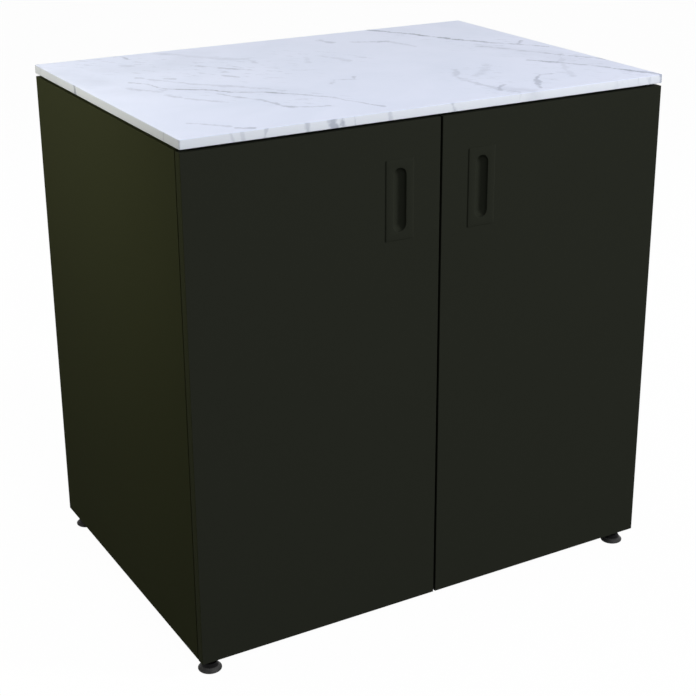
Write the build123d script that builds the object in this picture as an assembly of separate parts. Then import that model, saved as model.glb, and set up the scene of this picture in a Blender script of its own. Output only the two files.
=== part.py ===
# Outdoor kitchen base cabinet: a folded sheet body with two full-overlay doors, a stone slab on
# elastic pads and four levelling feet. Millimetres, +Z up, +X to the right, +Y to the back.
# The origin is on the floor, under the middle of the slab.

import math
import os

from build123d import *

# Overall sizes
slab_width = 900.0
slab_depth = 631.0
slab_thickness = 15.0
slab_arris = 1.0
slab_side_overhang = 0.25
slab_front_overhang = 1.0
slab_back_overhang = 1.5
shadow_gap = 5.0
body_height = 860.0
foot_height = 29.0

# Sheet metal
sheet = 1.2
bend_radius = 0.8
side_thickness = 16.0
nest_clearance = 0.15
panel_clearance = 0.25
flange_depth = 30.0

# Doors
door_thickness = 16.0
door_back_gap = 2.5
door_middle_gap = 4.0
bumper_radius = 4.0
bumper_clearance = 0.3
bumper_offset_x = 30.0

# Rails, back panel and shelf
rail_depth = 80.0
back_edge_clearance = 0.5
shelf_depth = 560.0
shelf_front_setback = 26.0
shelf_side_clearance = 1.5
shelf_flange = 25.0
shelf_hem = 12.0
shelf_hole_index = 2

# Rows of holes in the side liners
system_hole_radius = 2.55
system_hole_pitch = 32.0
system_hole_count = 5
system_first_hole_height = 335.0
system_front_setback = 37.0
system_back_setback = 60.0

# Shelf pins
pin_shank_radius = 2.5
pin_shank_length = 8.0
pin_collar_radius = 4.0
pin_collar_thickness = 1.5
pin_tongue_length = 7.0
pin_tongue_width = 7.0
pin_tongue_thickness = 2.0

# Slab pads
pad_size = 30.0
pad_side_inset = 50.0

# Finger pulls
pull_width = 52.0
pull_height = 131.0
pull_corner = 1.0
pull_reveal = 1.0
pull_offset_x = 78.0
pull_centre_below_top = 125.0
pull_flange_lap = 5.0
pull_flange_thickness = 2.0
scoop_width = 21.0
scoop_height = 104.0
scoop_wall = 1.5
pull_boss_radius = 4.0
pull_boss_spacing = 120.0
pull_screw_radius = 1.9
pull_screw_grip = 8.0
housing_screw_length = 4.4

# Concealed hinges. Their places are given from the door's outer edge inwards (u) and from the
# door's back face into the cabinet (v).
hinge_end_distance = 100.0
hinge_axis_u = 6.6
hinge_axis_v = -10.4
hinge_pin_radius = 1.25
hinge_pin_clearance = 0.05
knuckle_wall = 1.25
knuckle_clearance = 0.3
housing_wall = 0.8
housing_length_u = 37.0
housing_half_height = 17.0
housing_floor_clearance = 0.8
housing_cut_clearance = 0.2
housing_wing = 12.0
arm_thickness = 2.0
arm_nose_half_height = 7.0
arm_leg_u = 19.2
arm_body_half_height = 9.0
arm_body_start_v = 10.0
arm_body_end_v = 66.0
arm_body_depth = 10.0
arm_wall = 1.6
arm_liner_clearance = 1.0
plate_corner = 5.0
plate_thickness = 2.0
plate_half_height = 26.0
plate_width = 22.0
plate_rail_half_height = 6.5
plate_rail_depth = 3.0
plate_rail_clearance = 3.2
hinge_screw_spacing = 32.0

# Screws. Their shanks and the holes drilled for them are regular prisms.
screw_shank_radius = 2.5
screw_clearance = 0.05
screw_head_radius = 4.6
screw_head_height = 2.4
screw_length = 9.0
small_head_radius = 3.6
small_head_height = 1.0
screw_sides = 6
drill_sides = 8
collar_sides = 12
drill_overshoot = 1.0
floor_screw_inset = 73.0
rail_screw_inset = 24.0
back_screw_inset = 69.0

# Levelling feet
foot_side_inset = 25.0
foot_front_inset = 28.0
foot_back_inset = 25.0
foot_pad_radius = 20.0
foot_rim_height = 3.5
foot_rim_bevel = 1.05
foot_cone_top_radius = 7.0
foot_cone_height = 12.0
foot_pad_height = 14.0
foot_pad_bore_radius = 4.0
foot_pad_bore_floor = 4.5
stem_radius = 3.95
stem_top_clearance = 1.8
stem_running_clearance = 0.05
stem_end_clearance = 0.1
stem_hex_across = 13.0
stem_hex_height = 6.0
stem_hex_gap = 0.3
socket_across = 13.0
socket_height = 14.0
bracket_size = 46.0
bracket_thickness = 3.0
bracket_hole_radius = 4.6

# Planes that the pieces share
body_width = slab_width - 2 * slab_side_overhang
body_left = -body_width / 2
body_right = body_width / 2
body_bottom = foot_height
body_top = body_bottom + body_height
slab_bottom = body_top + shadow_gap
slab_top = slab_bottom + slab_thickness
door_front = -slab_depth / 2 + slab_front_overhang
door_back = door_front + door_thickness
carcass_front = door_back + door_back_gap
carcass_back = slab_depth / 2 - slab_back_overhang
side_back = carcass_back - sheet
inner_left = body_left + side_thickness
inner_right = body_right - side_thickness
tray_left = inner_left + panel_clearance
tray_right = inner_right - panel_clearance
floor_top = body_bottom + flange_depth
rail_bottom = body_top - flange_depth
door_width = body_width / 2 - door_middle_gap / 2
liner_hole_front = carcass_front + system_front_setback
liner_hole_back = carcass_back - system_back_setback
system_first_hole_z = floor_top + system_first_hole_height
stem_top_z = floor_top - sheet - stem_top_clearance


def box_between(low, high):
    # a box given by its lowest and highest corners
    size = [b - a for a, b in zip(low, high)]
    middle = [(a + b) / 2 for a, b in zip(low, high)]
    return Pos(*middle) * Box(*size)


def folded_pan(low, high, opening, thickness=sheet):
    # a box of folded sheet, open towards one of the six directions, such as (1, 0, 0)
    inner_low = [a + thickness for a in low]
    inner_high = [b - thickness for b in high]
    for axis, way in enumerate(opening):
        if way > 0:
            inner_high[axis] = high[axis] + thickness
        if way < 0:
            inner_low[axis] = low[axis] - thickness
    return box_between(low, high) - box_between(inner_low, inner_high)


def rod(radius, start, end):
    # a straight round rod between two points
    direction = Vector(*end) - Vector(*start)
    plane = Plane(origin=start, z_dir=direction)
    return extrude(plane * Circle(radius), direction.length)


def prism(radius, sides, start, end, touches_corners):
    # a regular prism between two points, whose corners or flats lie on the given radius
    direction = Vector(*end) - Vector(*start)
    plane = Plane(origin=start, z_dir=direction)
    return extrude(plane * RegularPolygon(radius, sides, major_radius=touches_corners), direction.length)


def drill(radius, start, end):
    # the tool for a hole that clears a round shank of that radius
    return prism(radius, drill_sides, start, end, False)


def screw(seat, direction, length, head_radius, head_height, shank_radius):
    # a screw whose head stands on the seat and whose shank runs the way of direction
    way = Vector(*direction).normalized()
    start = Vector(*seat)
    head = prism(head_radius, screw_sides, start, start - way * head_height, True)
    shank = prism(shank_radius, screw_sides, start, start + way * length, True)
    return head + shank


def hex_screw(seat, direction):
    head = (screw_head_radius, screw_head_height)
    return screw(seat, direction, screw_length, *head, screw_shank_radius)


def flat_screw(seat, direction, length):
    head = (small_head_radius, small_head_height)
    return screw(seat, direction, length, *head, pull_screw_radius)


def mirrored(shape):
    # the same piece on the other side of the cabinet
    return mirror(shape, about=Plane.YZ)


def in_pairs(shapes):
    # the pieces of the left side with their mirror images
    return shapes + [mirrored(shape) for shape in shapes]


parts = {}


# Slab and the pads that carry it
def make_slab():
    slab = box_between(
        (-slab_width / 2, -slab_depth / 2, slab_bottom),
        (slab_width / 2, slab_depth / 2, slab_top),
    )
    return chamfer(slab.edges(), slab_arris)


def make_slab_pads():
    pads = []
    half = pad_size / 2
    for x in (inner_left + pad_side_inset, 0.0, inner_right - pad_side_inset):
        for y in (carcass_front + rail_depth / 2, side_back - rail_depth / 2):
            pads.append(box_between((x - half, y - half, body_top), (x + half, y + half, slab_bottom)))
    return pads


# Sides: an outer pan that shows and a liner pan nested in it
def side_screw_places():
    # where the floor panel and the rails are screwed to a side liner: (y, z)
    tray_z = body_bottom + flange_depth / 2
    rail_z = body_top - flange_depth / 2
    middle_y = (carcass_front + side_back) / 2
    floor_ys = (carcass_front + floor_screw_inset, middle_y, side_back - floor_screw_inset)
    return {
        "floor": [(y, tray_z) for y in floor_ys],
        "front_rail": [
            (carcass_front + rail_screw_inset, rail_z),
            (carcass_front + rail_depth - rail_screw_inset, rail_z),
        ],
        "rear_rail": [
            (side_back - rail_depth + rail_screw_inset, rail_z),
            (side_back - rail_screw_inset, rail_z),
        ],
    }


def back_screw_places():
    # where the back panel is screwed to the sides, the floor panel and the rear rail: (x, z)
    side_x = body_left + side_thickness / 2
    places = []
    for z in (body_bottom + back_screw_inset, (body_bottom + body_top) / 2, body_top - back_screw_inset):
        places.extend([(side_x, z), (-side_x, z)])
    places.append((0.0, body_bottom + flange_depth / 2))
    places.append((0.0, body_top - flange_depth / 2))
    return places


def back_drills():
    radius = pull_screw_radius + screw_clearance
    back_y = carcass_back + drill_overshoot
    front_y = carcass_back - screw_length - drill_overshoot
    return [drill(radius, (x, back_y, z), (x, front_y, z)) for x, z in back_screw_places()]


def hinge_heights():
    return (body_bottom + hinge_end_distance, body_top - hinge_end_distance)


def make_side_outer():
    shell = folded_pan(
        (body_left, carcass_front, body_bottom),
        (inner_left, side_back, body_top),
        (1, 0, 0),
    )
    shell = fillet(shell.edges().filter_by_position(Axis.X, body_left, body_left), bend_radius)
    return shell - back_drills()


def make_side_liner():
    inset = sheet + nest_clearance
    liner = folded_pan(
        (body_left + sheet, carcass_front + inset, body_bottom + inset),
        (inner_left, side_back - inset, body_top - inset),
        (-1, 0, 0),
    )
    holes = []
    for y in (liner_hole_front, liner_hole_back):
        for index in range(system_hole_count):
            holes.append((y, system_first_hole_z + index * system_hole_pitch))
    for z in hinge_heights():
        holes.append((liner_hole_front, z - hinge_screw_spacing / 2))
        holes.append((liner_hole_front, z + hinge_screw_spacing / 2))
    for places in side_screw_places().values():
        holes.extend(places)
    start = inner_left - sheet - drill_overshoot
    end = inner_left + drill_overshoot
    drills = [drill(system_hole_radius, (start, y, z), (end, y, z)) for y, z in holes]
    return liner - drills - back_drills()


# Floor, rails, back panel
def drill_ends(tray, places):
    # clearance holes through both end flanges of a tray
    start = tray_left - drill_overshoot
    end = tray_left + sheet + drill_overshoot
    return tray - in_pairs([drill(system_hole_radius, (start, y, z), (end, y, z)) for y, z in places])


def make_floor_panel():
    tray = folded_pan(
        (tray_left, carcass_front, body_bottom),
        (tray_right, side_back, floor_top),
        (0, 0, -1),
    )
    return drill_ends(tray, side_screw_places()["floor"]) - back_drills()


def make_rail(front_y, name):
    tray = folded_pan(
        (tray_left, front_y, rail_bottom),
        (tray_right, front_y + rail_depth, body_top),
        (0, 0, -1),
    )
    tray = drill_ends(tray, side_screw_places()[name])
    if name == "rear_rail":
        tray = tray - back_drills()
    return tray


def make_back_panel():
    # a flat sheet over the rear edges of the sides, the floor panel and the rear rail
    face = box_between(
        (body_left + back_edge_clearance, side_back, body_bottom + back_edge_clearance),
        (body_right - back_edge_clearance, carcass_back, body_top - back_edge_clearance),
    )
    return face - back_drills()


def make_back_screws():
    return [flat_screw((x, carcass_back, z), (0, -1, 0), screw_length) for x, z in back_screw_places()]


def make_side_screws(name):
    # screws from inside the cabinet through a flange into the side liner
    screws = [hex_screw((tray_left + sheet, y, z), (-1, 0, 0)) for y, z in side_screw_places()[name]]
    return in_pairs(screws)


# Shelf on four pins
shelf_underside = system_first_hole_z + shelf_hole_index * system_hole_pitch + pin_tongue_thickness / 2
shelf_front = carcass_front + shelf_front_setback


def make_shelf():
    left = inner_left + shelf_side_clearance
    right = inner_right - shelf_side_clearance
    back = shelf_front + shelf_depth
    top = box_between((left, shelf_front, shelf_underside), (right, back, shelf_underside + sheet))
    low = shelf_underside + sheet - shelf_flange
    flanges = [
        box_between((left, shelf_front, low), (right, shelf_front + sheet, shelf_underside + sheet)),
        box_between((left, back - sheet, low), (right, back, shelf_underside + sheet)),
        box_between((left, shelf_front, low), (right, shelf_front + shelf_hem, low + sheet)),
        box_between((left, back - shelf_hem, low), (right, back, low + sheet)),
    ]
    return top + flanges


def make_shelf_pins():
    pins = []
    z = shelf_underside - pin_tongue_thickness / 2
    for y in (liner_hole_front, liner_hole_back):
        seat = (inner_left, y, z)
        shank = prism(pin_shank_radius, drill_sides, (inner_left - pin_shank_length, y, z), seat, True)
        collar = prism(pin_collar_radius, collar_sides, seat, (inner_left + pin_collar_thickness, y, z), True)
        collar = collar - box_between(
            (inner_left, y - pin_collar_radius, shelf_underside),
            (inner_left + pin_collar_thickness, y + pin_collar_radius, shelf_underside + pin_collar_radius),
        )
        tongue_end = inner_left + pin_collar_thickness + pin_tongue_length
        tongue = box_between(
            (inner_left, y - pin_tongue_width / 2, shelf_underside - pin_tongue_thickness),
            (tongue_end, y + pin_tongue_width / 2, shelf_underside),
        )
        pins.append(shank + collar + tongue)
    return in_pairs(pins)


# Doors: the left one is drawn and the right one is its mirror image
def door_point(u, v, z):
    # a point given from the left door's outer edge and back face
    return (body_left + u, door_back + v, z)


housing_start_u = hinge_axis_u - hinge_pin_radius - knuckle_wall - knuckle_clearance - housing_wall
housing_end_u = housing_start_u + housing_length_u
housing_floor_v = -door_thickness + sheet + housing_floor_clearance
pull_centre_z = body_top - pull_centre_below_top
pull_centre_x = -pull_offset_x
pull_front = door_front - pull_reveal
cutout_width = pull_width + 2 * pull_reveal
cutout_height = pull_height + 2 * pull_reveal


def upright_block(width, height, corner, front_y, back_y, centre_x, centre_z):
    # a block with rounded upright corners seen from the front
    plane = Plane(origin=(centre_x, front_y, centre_z), x_dir=(1, 0, 0), z_dir=(0, 1, 0))
    return extrude(plane * RectangleRounded(width, height, corner), back_y - front_y)


def make_door_outer():
    shell = folded_pan(
        (body_left, door_front, body_bottom),
        (body_left + door_width, door_back, body_top),
        (0, 1, 0),
    )
    shell = fillet(shell.edges().filter_by_position(Axis.Y, door_front, door_front), bend_radius)
    cut = upright_block(
        cutout_width, cutout_height, pull_corner + pull_reveal,
        door_front - drill_overshoot, door_front + sheet + drill_overshoot, pull_centre_x, pull_centre_z,
    )
    return shell - cut


def pull_screw_heights():
    return (pull_centre_z - pull_boss_spacing / 2, pull_centre_z + pull_boss_spacing / 2)


def make_door_inner():
    inset = sheet + nest_clearance
    pan = folded_pan(
        (body_left + inset, door_front + sheet, body_bottom + inset),
        (body_left + door_width - inset, door_back, body_top - inset),
        (0, -1, 0),
    )
    cuts = []
    for z in hinge_heights():
        half = housing_half_height + housing_cut_clearance
        cuts.append(
            box_between(
                door_point(housing_start_u - housing_cut_clearance, -sheet - drill_overshoot, z - half),
                door_point(housing_end_u + housing_cut_clearance, drill_overshoot, z + half),
            )
        )
        cuts.extend(housing_screw_drills(z))
    radius = pull_screw_radius + screw_clearance
    for z in pull_screw_heights():
        start = (pull_centre_x, door_back + drill_overshoot, z)
        cuts.append(drill(radius, start, (pull_centre_x, door_back - sheet - drill_overshoot, z)))
    return pan - cuts


def scoop_solid(radius, front_y):
    # a half cylinder with quarter-sphere ends, bulging backwards from front_y
    half = scoop_height / 2 - scoop_width / 2
    body = rod(
        radius,
        (pull_centre_x, front_y, pull_centre_z - half),
        (pull_centre_x, front_y, pull_centre_z + half),
    )
    ends = [Pos(pull_centre_x, front_y, pull_centre_z + way * half) * Sphere(radius) for way in (-1, 1)]
    keep = box_between(
        (pull_centre_x - pull_width, front_y, pull_centre_z - pull_height),
        (pull_centre_x + pull_width, front_y + 2 * radius, pull_centre_z + pull_height),
    )
    return (body + ends) & keep


def make_pull():
    flange_front = door_front + sheet
    flange_back = flange_front + pull_flange_thickness
    plate = upright_block(
        pull_width, pull_height, pull_corner, pull_front, flange_back, pull_centre_x, pull_centre_z
    )
    lap = 2 * (pull_flange_lap + pull_reveal)
    flange = upright_block(
        pull_width + lap, pull_height + lap, pull_corner + pull_flange_lap,
        flange_front, flange_back, pull_centre_x, pull_centre_z,
    )
    bosses = []
    for z in pull_screw_heights():
        start = (pull_centre_x, flange_front, z)
        end = (pull_centre_x, door_back - sheet, z)
        bosses.append(prism(pull_boss_radius, collar_sides, start, end, True))
    bowl_width = scoop_width + 2 * scoop_wall
    bowl_height = scoop_height + 2 * scoop_wall
    bowl = box_between(
        (pull_centre_x - bowl_width / 2, flange_front, pull_centre_z - bowl_height / 2),
        (pull_centre_x + bowl_width / 2, pull_front + bowl_width / 2, pull_centre_z + bowl_height / 2),
    )
    solid = plate + flange + bosses + bowl
    solid = solid - scoop_solid(scoop_width / 2, pull_front)
    drills = []
    for z in pull_screw_heights():
        drills.append(
            drill(
                pull_screw_radius + screw_clearance,
                (pull_centre_x, door_back, z),
                (pull_centre_x, door_back - sheet - pull_screw_grip - screw_clearance, z),
            )
        )
    return solid - drills


def make_pull_screws():
    return [
        flat_screw((pull_centre_x, door_back, z), (0, -1, 0), sheet + pull_screw_grip)
        for z in pull_screw_heights()
    ]


# Concealed hinges with one pin each
def hinge_axis_point(z):
    return door_point(hinge_axis_u, hinge_axis_v, z)


def wing_screw_seats(z):
    # the heads of the housing's screws stand on its two wings
    middle_u = (housing_start_u + housing_end_u) / 2
    offset = housing_half_height + housing_wing / 2
    return [door_point(middle_u, housing_wall, z + way * offset) for way in (-1, 1)]


def housing_screw_drills(z):
    radius = pull_screw_radius + screw_clearance
    reach = housing_screw_length + drill_overshoot
    return [
        drill(radius, (x, y + drill_overshoot, seat_z), (x, y - reach, seat_z))
        for x, y, seat_z in wing_screw_seats(z)
    ]


def make_hinge_housing(z):
    low = door_point(housing_start_u, housing_floor_v, z - housing_half_height)
    high = door_point(housing_end_u, 0.0, z + housing_half_height)
    pot = folded_pan(low, high, (0, 1, 0), housing_wall)
    wings_low = door_point(housing_start_u, 0.0, z - housing_half_height - housing_wing)
    wings_high = door_point(housing_end_u, housing_wall, z + housing_half_height + housing_wing)
    mouth_half_height = housing_half_height - housing_wall
    mouth = box_between(
        door_point(housing_start_u + housing_wall, -drill_overshoot, z - mouth_half_height),
        door_point(housing_end_u - housing_wall, housing_wall + drill_overshoot, z + mouth_half_height),
    )
    frame = box_between(wings_low, wings_high) - mouth
    x, y, _ = hinge_axis_point(z)
    reach = housing_half_height + drill_overshoot
    bore = drill(hinge_pin_radius + hinge_pin_clearance, (x, y, z - reach), (x, y, z + reach))
    return pot + frame - bore - housing_screw_drills(z)


def make_hinge_pin(z):
    x, y, _ = hinge_axis_point(z)
    return rod(hinge_pin_radius, (x, y, z - housing_half_height), (x, y, z + housing_half_height))


def make_hinge_arm(z):
    # the cranked nose reaches round the side's front edge to the pin
    knuckle_radius = hinge_pin_radius + knuckle_wall
    low_v = hinge_axis_v - knuckle_radius
    leg_outer_u = arm_leg_u + arm_thickness
    plane = Plane(origin=(body_left, door_back, z - arm_nose_half_height), x_dir=(1, 0, 0), z_dir=(0, 0, 1))
    crank = Polyline(
        (hinge_axis_u, low_v),
        (leg_outer_u, low_v),
        (leg_outer_u, arm_body_start_v + arm_thickness),
        (arm_leg_u, arm_body_start_v + arm_thickness),
        (arm_leg_u, low_v + arm_thickness),
        (hinge_axis_u, low_v + arm_thickness),
        close=True,
    )
    nose_height = 2 * arm_nose_half_height
    nose = extrude(plane * make_face(crank), nose_height)
    corner = nose.edges().filter_by(Axis.Z).filter_by_position(
        Axis.X, body_left + leg_outer_u, body_left + leg_outer_u
    )
    nose = fillet(corner.sort_by(Axis.Y)[0], arm_thickness)
    knuckle = extrude(plane * Pos(hinge_axis_u, hinge_axis_v) * Circle(knuckle_radius), nose_height)
    body = folded_pan(
        door_point(side_thickness + arm_liner_clearance, arm_body_start_v, z - arm_body_half_height),
        door_point(side_thickness + arm_body_depth, arm_body_end_v, z + arm_body_half_height),
        (-1, 0, 0),
        arm_wall,
    )
    cut_half_height = arm_body_half_height + drill_overshoot
    cut_end_u = side_thickness + plate_thickness + nest_clearance
    body = body - box_between(
        door_point(side_thickness, arm_body_start_v + arm_wall, z - cut_half_height),
        door_point(cut_end_u, arm_body_end_v + drill_overshoot, z + cut_half_height),
    )
    bore = extrude(
        plane * Pos(hinge_axis_u, hinge_axis_v) * Circle(hinge_pin_radius + hinge_pin_clearance), nose_height
    )
    return nose + knuckle + body - bore


def make_hinge_plate(z):
    # a cross plate on the liner with a raised rail that the arm straddles
    low_v = system_front_setback + door_back_gap - plate_width / 2
    high_v = low_v + plate_width
    base = box_between(
        door_point(side_thickness, low_v, z - plate_half_height),
        door_point(side_thickness + plate_thickness, high_v, z + plate_half_height),
    )
    base = chamfer(base.edges().filter_by(Axis.X), plate_corner)
    rail_end = arm_wall + plate_rail_clearance
    rail = box_between(
        door_point(side_thickness, arm_body_start_v + rail_end, z - plate_rail_half_height),
        door_point(
            side_thickness + plate_thickness + plate_rail_depth, arm_body_end_v - rail_end,
            z + plate_rail_half_height,
        ),
    )
    radius = screw_shank_radius + screw_clearance
    reach = plate_thickness + drill_overshoot
    drills = [
        drill(radius, (x + drill_overshoot, y, seat_z), (x - reach, y, seat_z))
        for x, y, seat_z in plate_screw_seats(z)
    ]
    return base + rail - drills


def plate_screw_seats(z):
    return [
        door_point(side_thickness + plate_thickness, system_front_setback + door_back_gap, z + way)
        for way in (-hinge_screw_spacing / 2, hinge_screw_spacing / 2)
    ]


def make_hinge_plate_screws():
    screws = []
    for z in hinge_heights():
        for seat in plate_screw_seats(z):
            screws.append(hex_screw(seat, (-1, 0, 0)))
    return screws


def make_housing_screws():
    screws = []
    for z in hinge_heights():
        for seat in wing_screw_seats(z):
            screws.append(flat_screw(seat, (0, -1, 0), housing_screw_length))
    return screws


# Bumpers on the carcass, under the doors' free corners
def make_bumpers():
    bumpers = []
    for z in (body_bottom + flange_depth / 2, body_top - flange_depth / 2):
        seat = (-bumper_offset_x, carcass_front, z)
        tip = (-bumper_offset_x, door_back + bumper_clearance, z)
        bumpers.append(prism(bumper_radius, collar_sides, seat, tip, True))
    return in_pairs(bumpers)


# Levelling feet: a bracket and a socket in each corner, a stem that turns and a pad
foot_places = {
    "front_left": (-1, -1),
    "front_right": (1, -1),
    "back_left": (-1, 1),
    "back_right": (1, 1),
}


def foot_axis(side, end):
    x = side * (body_right - foot_side_inset)
    y = carcass_back - foot_back_inset
    if end < 0:
        y = door_front + foot_front_inset
    return (x, y)


def make_foot_bracket(side, end):
    # a square plate between the floor panel's flanges
    wall_x = side * (tray_right - sheet)
    wall_y = side_back - sheet
    if end < 0:
        wall_y = carcass_front + sheet
    xs = sorted((wall_x, wall_x - side * bracket_size))
    ys = sorted((wall_y, wall_y - end * bracket_size))
    x, y = foot_axis(side, end)
    plate = box_between(
        (xs[0], ys[0], body_bottom),
        (xs[1], ys[1], body_bottom + bracket_thickness),
    )
    high = body_bottom + bracket_thickness + drill_overshoot
    hole = drill(bracket_hole_radius, (x, y, body_bottom - drill_overshoot), (x, y, high))
    return plate - hole


def hexagon_bar(across, x, y, low_z, high_z):
    # a hexagonal bar with two flats facing left and right
    outline = Rot(0, 0, 30) * RegularPolygon(across / 2, 6, major_radius=False)
    return extrude(Pos(x, y, low_z) * outline, high_z - low_z)


def make_foot_socket(side, end):
    x, y = foot_axis(side, end)
    low = body_bottom + bracket_thickness
    high = low + socket_height
    nut = hexagon_bar(socket_across, x, y, low, high)
    bore_radius = stem_radius + stem_running_clearance
    bore = rod(bore_radius, (x, y, low - drill_overshoot), (x, y, high + drill_overshoot))
    return nut - bore


def make_foot_pad(side, end):
    x, y = foot_axis(side, end)
    outline = Polyline(
        (0, 0),
        (foot_pad_radius - foot_rim_bevel, 0),
        (foot_pad_radius, foot_rim_bevel),
        (foot_pad_radius, foot_rim_height),
        (foot_cone_top_radius, foot_cone_height),
        (foot_cone_top_radius, foot_pad_height),
        (foot_pad_bore_radius, foot_pad_height),
        (foot_pad_bore_radius, foot_pad_bore_floor),
        (0, foot_pad_bore_floor),
        close=True,
    )
    return Pos(x, y, 0) * revolve(Plane.XZ * make_face(outline), Axis.Z)


def make_foot_stem(side, end):
    x, y = foot_axis(side, end)
    shaft = rod(stem_radius, (x, y, foot_pad_bore_floor + stem_end_clearance), (x, y, stem_top_z))
    hex_low = foot_pad_height + stem_hex_gap
    return shaft + hexagon_bar(stem_hex_across, x, y, hex_low, hex_low + stem_hex_height)


# Collect every piece under its name
parts["worktop_slab"] = make_slab()
parts["slab_pads"] = make_slab_pads()

side_outer = make_side_outer()
side_liner = make_side_liner()
parts["left_side_outer_skin"] = side_outer
parts["right_side_outer_skin"] = mirrored(side_outer)
parts["left_side_liner"] = side_liner
parts["right_side_liner"] = mirrored(side_liner)

parts["floor_panel"] = make_floor_panel()
parts["front_top_rail"] = make_rail(carcass_front, "front_rail")
parts["rear_top_rail"] = make_rail(side_back - rail_depth, "rear_rail")
parts["back_panel"] = make_back_panel()
parts["floor_screws"] = make_side_screws("floor")
parts["rail_screws"] = make_side_screws("front_rail") + make_side_screws("rear_rail")
parts["back_panel_screws"] = make_back_screws()
parts["shelf"] = make_shelf()
parts["shelf_pins"] = make_shelf_pins()
parts["door_bumpers"] = make_bumpers()

left_pieces = {
    "door_outer_pan": make_door_outer(),
    "door_inner_pan": make_door_inner(),
    "finger_pull": make_pull(),
    "pull_screws": make_pull_screws(),
    "hinge_housings": [make_hinge_housing(z) for z in hinge_heights()],
    "hinge_pins": [make_hinge_pin(z) for z in hinge_heights()],
    "hinge_housing_screws": make_housing_screws(),
    "hinge_arms": [make_hinge_arm(z) for z in hinge_heights()],
    "hinge_plates": [make_hinge_plate(z) for z in hinge_heights()],
    "hinge_plate_screws": make_hinge_plate_screws(),
}
for name, shape in left_pieces.items():
    parts["left_" + name] = shape
    if isinstance(shape, list):
        parts["right_" + name] = [mirrored(piece) for piece in shape]
    else:
        parts["right_" + name] = mirrored(shape)

parts["foot_brackets"] = [make_foot_bracket(*place) for place in foot_places.values()]
parts["foot_sockets"] = [make_foot_socket(*place) for place in foot_places.values()]
for name, place in foot_places.items():
    parts[name + "_foot_pad"] = make_foot_pad(*place)
    parts[name + "_foot_stem"] = make_foot_stem(*place)

# Write one file for each piece
os.makedirs("parts", exist_ok=True)
for name, shape in parts.items():
    if isinstance(shape, list):
        shape = Compound(children=shape)
    export_step(shape, "parts/" + name + ".step")
print(len(parts), "pieces, top at", slab_top)
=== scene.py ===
# Outdoor kitchen base cabinet: powder-coated sheet body, two doors with flush pulls, marble-look slab,
# levelling feet. Metres, +Z up, doors towards -Y, floor at z = 0.
import math

import bpy
import numpy as np
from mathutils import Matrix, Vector


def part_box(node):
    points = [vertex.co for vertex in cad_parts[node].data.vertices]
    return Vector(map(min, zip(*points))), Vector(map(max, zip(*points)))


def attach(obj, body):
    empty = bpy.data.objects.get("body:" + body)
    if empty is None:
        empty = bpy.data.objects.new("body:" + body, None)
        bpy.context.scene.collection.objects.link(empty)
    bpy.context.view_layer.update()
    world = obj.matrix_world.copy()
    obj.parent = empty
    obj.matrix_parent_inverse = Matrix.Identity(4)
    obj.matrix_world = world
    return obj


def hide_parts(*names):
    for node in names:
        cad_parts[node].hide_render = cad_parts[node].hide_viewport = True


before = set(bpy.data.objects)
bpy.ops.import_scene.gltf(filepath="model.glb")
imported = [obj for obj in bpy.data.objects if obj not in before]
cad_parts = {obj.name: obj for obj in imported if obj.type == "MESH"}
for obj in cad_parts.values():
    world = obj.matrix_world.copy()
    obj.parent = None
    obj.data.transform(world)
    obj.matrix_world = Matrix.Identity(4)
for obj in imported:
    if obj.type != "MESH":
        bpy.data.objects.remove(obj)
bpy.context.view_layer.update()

mm = 0.001
sides = ("left", "right")
feet = ("front_left", "front_right", "back_left", "back_right")


# Colours are written as sRGB hex and used as linear light
def toLinear(hexColour):
    values = [int(hexColour[i:i + 2], 16) / 255 for i in (1, 3, 5)]
    return tuple(v / 12.92 if v <= 0.04045 else ((v + 0.055) / 1.055) ** 2.4 for v in values) + (1.0,)


# One node with its settings; an input is a constant or the output socket of another node
def addNode(tree, kind, settings=None, inputs=None):
    node = tree.nodes.new(kind)
    for key, value in (settings or {}).items():
        setattr(node, key, value)
    for key, value in (inputs or {}).items():
        if isinstance(value, bpy.types.NodeSocket):
            tree.links.new(value, node.inputs[key])
        else:
            node.inputs[key].default_value = value
    return node


# A new material with its shader, and the object coordinates that its patterns read
def startMaterial(name, constants):
    material = bpy.data.materials.new(name)
    material.use_nodes = True
    tree = material.node_tree
    tree.nodes.clear()
    shader = addNode(tree, "ShaderNodeBsdfPrincipled", inputs=constants)
    output = addNode(tree, "ShaderNodeOutputMaterial", inputs={"Surface": shader.outputs[0]})
    output.is_active_output = True
    place = addNode(tree, "ShaderNodeTexCoord").outputs["Object"]
    return material, tree, shader, place


# Most values of a noise texture lie between these two. Over them a surface's roughness rises from its
# middle value less "uneven" to that value plus "uneven".
noiseLow, noiseHigh = 0.3, 0.7


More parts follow.
